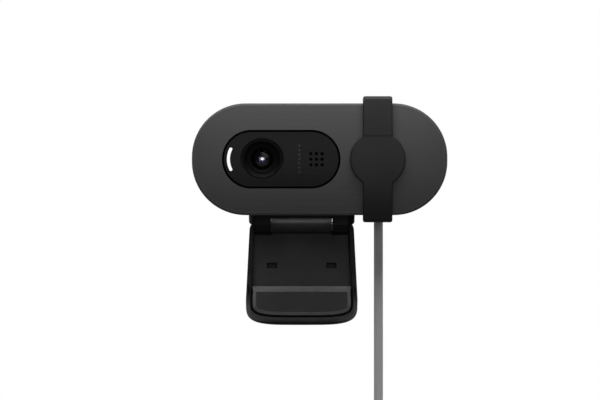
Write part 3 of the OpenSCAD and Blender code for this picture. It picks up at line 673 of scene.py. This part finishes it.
def make_lens_glass():
    """Dark glass with a coating's tint: a painted violet fringe of the glint's reflection over the pupil, a
    painted grey-green reflection on its upper right, black at the rim.
    """
    material, tree, shader = new_glass("lens_glass", 0.03)
    away = from_axis(tree, lens_centre)
    slant = Vector((0.7, 0, 0.7))
    along = vector_node(tree, "DOT_PRODUCT", object_place(tree), slant)["Value"]
    middle = slant.dot(lens_centre)
    # Painted reflection: grey green towards the upper right of the lens.
    upper = ramp(tree, along, middle - 0.6 * MM, middle + 1.4 * MM)
    film_and_painted_reflection = mix(tree, upper, (0.004, 0.004, 0.006, 1), (0.075, 0.080, 0.070, 1))
    film_and_painted_reflection = mix(tree, ramp(tree, away, 1.9 * MM, 2.6 * MM), film_and_painted_reflection, deep_black)
    # Painted reflection: the violet over the pupil is the fringe of the glint.
    pupil = mix(tree, ramp(tree, away, 0.4 * MM, 1.0 * MM), (0.05, 0.04, 0.10, 1), (0.006, 0.005, 0.016, 1))
    tree.links.new(mix(tree, ramp(tree, away, 1.1 * MM, 1.6 * MM), pupil, film_and_painted_reflection), shader.inputs["Base Color"])
    return material


lens_glass = make_lens_glass()
filter_glass = make_filter_glass()
board = make_board()
white_light = make_light()

# The finish of each material slot, and of the pieces that have their own
finishes = {
    "graphite_shell": graphite, "band_shell": band_black, "black_face": face_black,
    "black_matte": matte_black, "lens_glass": lens_glass, "filter_glass": filter_glass,
    "chip": chip_black, "board": board, "steel": steel, "white_led": white_light,
    "white_light": white_light, "mic_metal": mic_metal, "rubber": rubber, "header": header_white,
    "cable_black": cable_black, "cable_grey": cable_grey, "clip_black": clip_black}
own_finishes = {
    "lens_bezel": bezel_black, "lens_barrel": bezel_black, "mic_boot": bezel_black,
    "leg_pad": pad_rubber, "leg_shell": leg_black, "leg_panel_moulded": panel_black,
    "tilt_washers": blackened, "tilt_pin": blackened, "usb_lead": cable_grey}

for piece in [*node.values(), band, panel, usb_lead]:
    finish = own_finishes.get(piece.name)
    if finish is None:
        finish = finishes[piece.data.materials[0].name.split(".")[0]]
    piece.data.materials.clear()
    piece.data.materials.append(finish)


# ---------- studio ----------

def seen_directly(tree, path):
    """Whether a ray comes from the camera, straight or through glass."""
    return math_node(tree, "MAXIMUM", path["Is Camera Ray"], path["Is Transmission Ray"])


def make_world():
    """Dim air for the light on the object, and plain white behind it."""
    world = bpy.data.worlds.new("studio_air")
    bpy.context.scene.world = world
    world.use_nodes = True
    tree = world.node_tree
    white = (1, 1, 1, 1)
    dim = tree.nodes["Background"]
    dim.inputs["Color"].default_value = white
    dim.inputs["Strength"].default_value = 0.04
    bright = tree.nodes.new("ShaderNodeBackground")
    bright.inputs["Color"].default_value = white
    path = tree.nodes.new("ShaderNodeLightPath").outputs
    blend = tree.nodes.new("ShaderNodeMixShader")
    tree.links.new(seen_directly(tree, path), blend.inputs[0])
    tree.links.new(dim.outputs[0], blend.inputs[1])
    tree.links.new(bright.outputs[0], blend.inputs[2])
    tree.links.new(blend.outputs[0], tree.nodes["World Output"].inputs["Surface"])


def make_floor():
    """A pale floor that fades into the white, and that sends little light back up."""
    bpy.ops.mesh.primitive_plane_add(size=5, location=(0, 0, cad_box[0][2] - 0.4 * MM))
    floor = bpy.context.object
    floor.name = "studio_floor"
    bpy.ops.object.transform_apply(location=True)
    material, tree, shader = new_material("pale_floor", Roughness=0.7)
    path = tree.nodes.new("ShaderNodeLightPath").outputs
    seen = math_node(tree, "MULTIPLY_ADD", path["Is Glossy Ray"], 0.15, seen_directly(tree, path))
    tone = mix(tree, seen, (0.03, 0.03, 0.03, 1), (0.88, 0.88, 0.88, 1))
    tree.links.new(tone, shader.inputs["Base Color"])
    far = ramp(tree, vector_node(tree, "LENGTH", object_place(tree))["Value"], 0.3, 1.1)
    glow = tree.nodes.new("ShaderNodeEmission")
    tree.links.new(math_node(tree, "MULTIPLY", far, path["Is Camera Ray"]), glow.inputs["Strength"])
    both = tree.nodes.new("ShaderNodeAddShader")
    tree.links.new(shader.outputs[0], both.inputs[0])
    tree.links.new(glow.outputs[0], both.inputs[1])
    tree.links.new(both.outputs[0], tree.nodes["Material Output"].inputs["Surface"])
    floor.data.materials.append(material)


def add_lamp(name, place, power, aim):
    bpy.ops.object.light_add(type="AREA", location=place)
    lamp = bpy.context.object
    lamp.name = name
    lamp.data.energy = power
    lamp.rotation_euler = (Vector(aim) - Vector(place)).to_track_quat("-Z", "Y").to_euler()
    return lamp


def add_softbox(name, place, size, power, aim=(0.0, 0.0, 0.01)):
    lamp = add_lamp(name, place, power, aim)
    lamp.data.shape = "RECTANGLE"
    lamp.data.size, lamp.data.size_y = size


def add_lens_lamp(name, place, size, power):
    """A round lamp that only the front lens sees."""
    lamp = add_lamp(name, place, power, head_centre)
    lamp.data.shape = "DISK"
    lamp.data.size = size
    seen_by = bpy.data.collections.new(name + "_on")
    seen_by.objects.link(node["front_lens"])
    lamp.light_linking.receiver_collection = seen_by


make_world()
make_floor()
add_lens_lamp("lens_glint", (0.03, -1.2, 0.08), 0.5, 9.0)
add_lens_lamp("lens_glow", (0.42, -0.7, 0.72), 1.2, 1.6)
add_softbox("softbox_top", (0.0, -0.24, 0.6), (1.0, 0.46), 6.1, aim=(0.0, -0.24, 0.01))
add_softbox("softbox_front", (0.0, -1.3, 0.02), (1.2, 0.8), 2.9)
add_softbox("softbox_back", (0.0, 1.4, 0.35), (1.4, 0.8), 14)
for side in (-1, 1):
    add_softbox("softbox_side", (1.5 * side, 0.35, 0.15), (0.9, 0.9), 3.5)
bpy.context.scene.view_settings.view_transform = "Standard"
